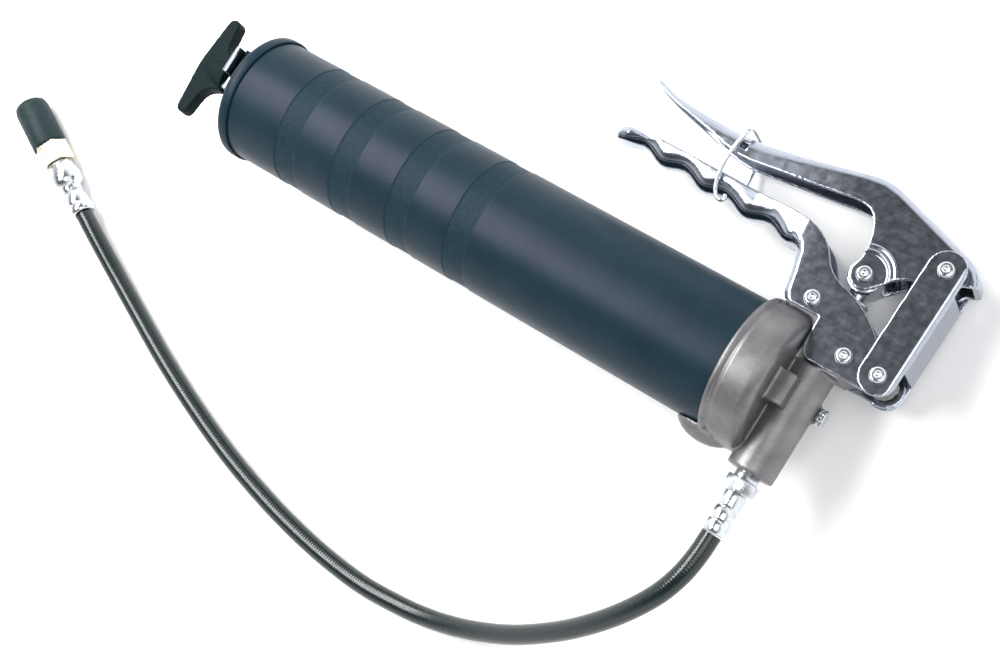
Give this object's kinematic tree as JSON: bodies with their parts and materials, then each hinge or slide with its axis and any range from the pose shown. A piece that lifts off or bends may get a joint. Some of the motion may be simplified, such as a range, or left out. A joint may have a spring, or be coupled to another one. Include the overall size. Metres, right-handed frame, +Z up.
{
  "type": "grease gun",
  "caption": "Pistol-grip lever grease gun with a cylindrical barrel, a pull-rod T handle, a whip hose and a jaw coupler, lying on its side.",
  "frame": {"origin": "bottom centre of the gun's bounding box, without the hose and what is on it", "axes": "+X along the barrel towards the pump head, +Y towards the lever, +Z up; the gun lies on the bench rolled 13.2 degrees about the barrel until its lever rests"},
  "size_m": [0.4725, 0.2707, 0.0629],
  "materials": {
    "navy_paint": "satin powder coat, fine texture",
    "cast_alloy": "as-cast grey",
    "zinc_plate": "bright zinc plate",
    "bright_steel": "bright plated",
    "nickel": "warm nickel plate",
    "spring_steel": "oiled spring steel",
    "black_plastic": "fine moulded texture",
    "black_rubber": "glossy hose cover and soft seals"
  },
  "bodies": {
    "gun": {"barrel_tube": "navy_paint", "end_cap": "navy_paint", "barrel_gasket": "black_rubber", "follower_spring": "spring_steel", "rod_guide_block": "black_plastic", "pump_head": "cast_alloy", "packing_ring": "black_rubber", "packing_nut": "zinc_plate", "check_spring": "spring_steel", "handle_bracket": "zinc_plate", "rivet_rear": "bright_steel", "rivet_front": "bright_steel", "link_pin_lower": "bright_steel", "lever_spring": "spring_steel", "outlet_fitting": "bright_steel", "outlet_ferrule": "bright_steel", "hose": "black_rubber", "coupler_ferrule": "bright_steel", "coupler_body": "bright_steel", "coupler_nut": "nickel", "coupler_jaws": "bright_steel"},
    "link_body": {"link": "zinc_plate", "link_washer_front": "bright_steel", "link_washer_back": "bright_steel"},
    "lever": {"pump_lever": "zinc_plate", "link_pin_upper": "bright_steel", "plunger_pin": "bright_steel"},
    "plunger_body": {"plunger": "bright_steel"},
    "rod": {"follower_rod": "bright_steel", "t_handle": "black_plastic", "follower_plate": "zinc_plate", "follower_cup": "black_rubber", "follower_washer": "zinc_plate", "follower_nut": "zinc_plate"},
    "rod_lock": {"rod_lock_plate": "zinc_plate"},
    "clip": {"lever_clip": "bright_steel"},
    "bleeder": {"bleeder_valve": "bright_steel"},
    "ball": {"check_ball": "bright_steel"},
    "sleeve": {"coupler_sleeve": "black_rubber"}
  },
  "joints": [
    {"name": "link_swing", "type": "hinge", "parent": "gun", "child": "link_body", "pos_m": [0.16864, -0.00307, 0.02661], "axis": [0, 0.2284, 0.9736], "range_deg": [-4.6, 0.6]},
    {"name": "lever_squeeze", "type": "hinge", "parent": "link_body", "child": "lever", "pos_m": [0.16995, 0.04356, 0.01568], "axis": [0, 0.2284, 0.9736], "range_deg": [-30, 3.5]},
    {"name": "plunger_slide", "type": "slide", "parent": "gun", "child": "plunger_body", "axis": [0, -0.9736, 0.2284], "range_m": [-0.0182, 0.0022]},
    {"name": "rod_slide", "type": "slide", "parent": "gun", "child": "rod", "axis": [-1, 0, 0], "range_m": [0, 0.19], "deforming": ["follower_spring"]},
    {"name": "rod_lock_tilt", "type": "hinge", "parent": "gun", "child": "rod_lock", "pos_m": [-0.16076, -0.02259, 0.024], "axis": [0, -0.9736, 0.2284], "range_deg": [0, 3], "stiffness_Nm_per_rad": 0.5},
    {"name": "clip_swing", "type": "hinge", "parent": "lever", "child": "clip", "pos_m": [0.07064, 0.06002, 0.01182], "axis": [0, 0.2284, 0.9736], "range_deg": [-70, 0]},
    {"name": "bleeder_turn", "type": "hinge", "parent": "gun", "child": "bleeder", "pos_m": [0.15304, -0.02628, 0.02795], "axis": [1, 0, 0], "range_deg": [0, 360]},
    {"name": "check_ball_lift", "type": "slide", "parent": "gun", "child": "ball", "axis": [0, -0.9736, 0.2284], "range_m": [0, 0.001], "stiffness_N_per_m": 60},
    {"name": "sleeve_turn", "type": "hinge", "parent": "gun", "child": "sleeve", "pos_m": [-0.27521, -0.09474, 0.0088], "axis": [-0.8756, 0.4831, 0], "range_deg": [-180, 180]}
  ],
  "couplings": [
    {"joint": "link_swing", "follows": "lever_squeeze", "ratio": 0.15},
    {"joint": "plunger_slide", "follows": "lever_squeeze", "m_per_rad": 0.0345}
  ]
}
